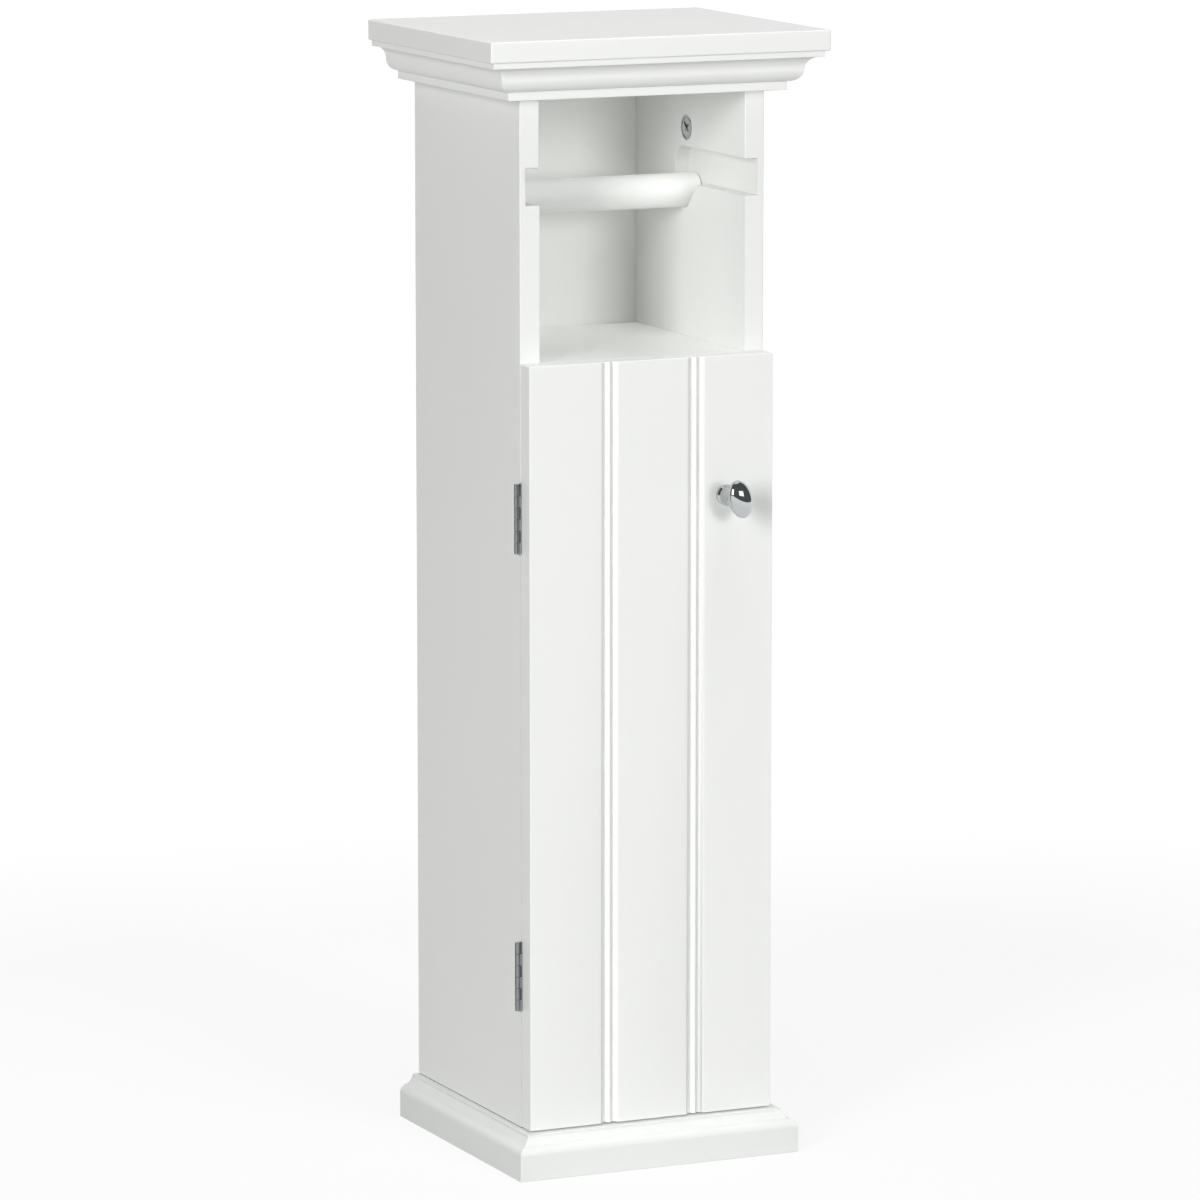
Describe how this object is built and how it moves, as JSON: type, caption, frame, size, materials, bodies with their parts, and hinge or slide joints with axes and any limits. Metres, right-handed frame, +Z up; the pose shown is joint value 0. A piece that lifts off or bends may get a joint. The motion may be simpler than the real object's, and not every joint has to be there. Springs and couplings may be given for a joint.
{
  "type": "toilet roll storage cabinet",
  "caption": "Slim free-standing bathroom cabinet with an open roll niche and lift-out bar over a planked door on butt hinges, with a crowned top and a moulded plinth.",
  "frame": {"origin": "on the floor, under the middle of the cabinet's bounding box with the knob included; the rear faces are at y = +0.094 and the knob's tip at y = -0.094", "axes": "+Z up, the door faces -Y, the roll bar runs along X, and the door's hinges are on the -X side"},
  "size_m": [0.21, 0.188, 0.65],
  "materials": {
    "white_painted_board": "satin white paint on fibreboard",
    "white_painted_wood": "satin white paint on a turned wooden rod",
    "bare_wood": "bare beech",
    "zinc": null,
    "zinc_steel": "bright zinc-plated steel",
    "chrome": "polished chrome plate",
    "nickel": null,
    "white_plastic": "white moulded plastic",
    "magnet": "dark sintered ferrite"
  },
  "bodies": {
    "cabinet": {"plinth_front": "white_painted_board", "plinth_left": "white_painted_board", "plinth_right": "white_painted_board", "plinth_rear": "white_painted_board", "bottom_board": "white_painted_board", "side_panel_left": "white_painted_board", "side_panel_right": "white_painted_board", "middle_shelf": "white_painted_board", "crown_board": "white_painted_board", "top_board": "white_painted_board", "crown_moulding_front": "white_painted_board", "crown_moulding_left": "white_painted_board", "crown_moulding_right": "white_painted_board", "back_panel": "white_painted_board", "back_panel_pins": "zinc_steel", "cam_locks": "zinc", "cam_bolts": "zinc_steel", "dowels": "bare_wood", "plinth_screws": "zinc_steel", "top_board_screws": "zinc_steel", "upper_hinge_cabinet_leaf": "nickel", "lower_hinge_cabinet_leaf": "nickel", "upper_hinge_pin": "nickel", "lower_hinge_pin": "nickel", "cabinet_hinge_screws": "nickel", "catch_housing": "white_plastic", "catch_magnet": "magnet", "catch_pole_plates": "zinc_steel", "catch_screws": "zinc_steel"},
    "door": {"door_panel": "white_painted_board", "upper_hinge_door_leaf": "nickel", "lower_hinge_door_leaf": "nickel", "door_hinge_screws": "nickel", "strike_plate": "zinc_steel", "strike_plate_screw": "zinc_steel", "knob": "chrome", "knob_screw": "zinc_steel"},
    "bar": {"roll_bar": "white_painted_wood"}
  },
  "joints": [
    {"name": "door_swing", "type": "hinge", "parent": "cabinet", "child": "door", "pos_m": [-0.0785, -0.0565, 0.246], "axis": [0, 0, -1], "range_deg": [0, 180]},
    {"name": "bar_lift", "type": "slide", "parent": "cabinet", "child": "bar", "axis": [0, 0, 1], "range_m": [0, 0.015]}
  ]
}
